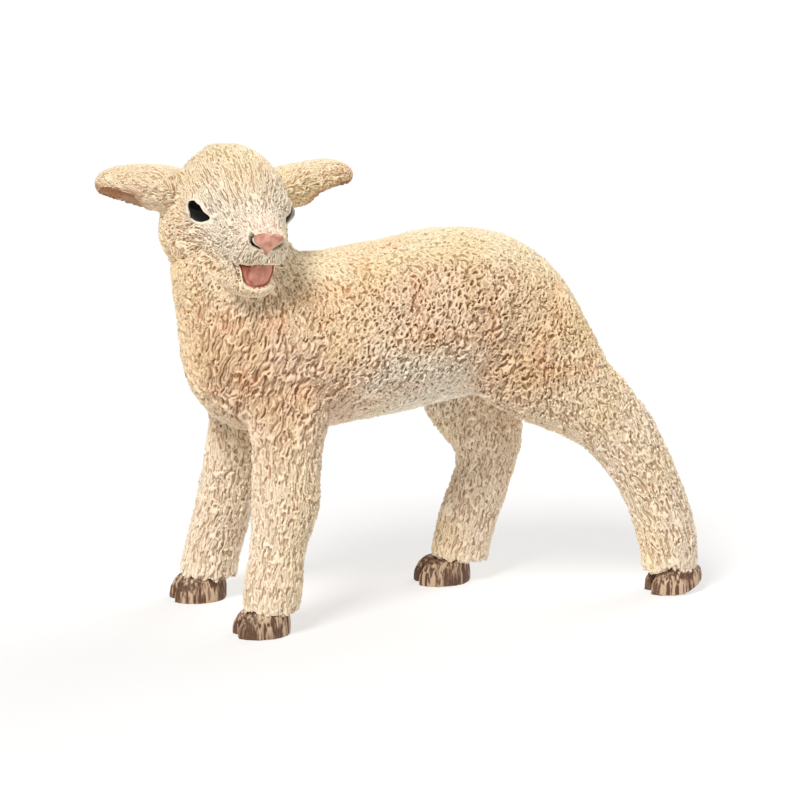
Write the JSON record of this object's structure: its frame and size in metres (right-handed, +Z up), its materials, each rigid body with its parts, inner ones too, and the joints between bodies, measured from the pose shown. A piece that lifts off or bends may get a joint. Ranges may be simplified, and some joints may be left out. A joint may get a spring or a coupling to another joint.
{
  "type": "toy farm animal figure",
  "caption": "Standing toy lamb that turns its head to its left and bleats, on cloven hooves, assembled from plugged mouldings.",
  "frame": {"origin": "middle of the footprint of the figure's box, on the surface that it stands on", "axes": "+Z up, -X the way the body faces, -Y the lamb's left side, to which the head is turned"},
  "size_m": [0.0584, 0.0194, 0.0466],
  "materials": {
    "body_wool": "matte paint, cream dry-brushed over tan",
    "face_wool": "matte paint, off-white",
    "leg_wool": "matte paint, pinkish cream",
    "hoof": "satin paint, brown with beige streaks",
    "nose": "satin paint, pink",
    "tongue": "satin paint, coral",
    "eye": "gloss paint, black"
  },
  "bodies": {
    "root": {"torso": "body_wool", "head": "face_wool", "tongue": "tongue", "nose_pad": "nose", "eye_left": "eye", "eye_right": "eye", "ear_left": "face_wool", "ear_right": "face_wool", "foreleg_left": "leg_wool", "foreleg_right": "leg_wool", "hindleg_left": "leg_wool", "hindleg_right": "leg_wool", "hoof_fore_left": "hoof", "hoof_fore_right": "hoof", "hoof_hind_left": "hoof", "hoof_hind_right": "hoof", "tail": "body_wool"}
  },
  "joints": []
}
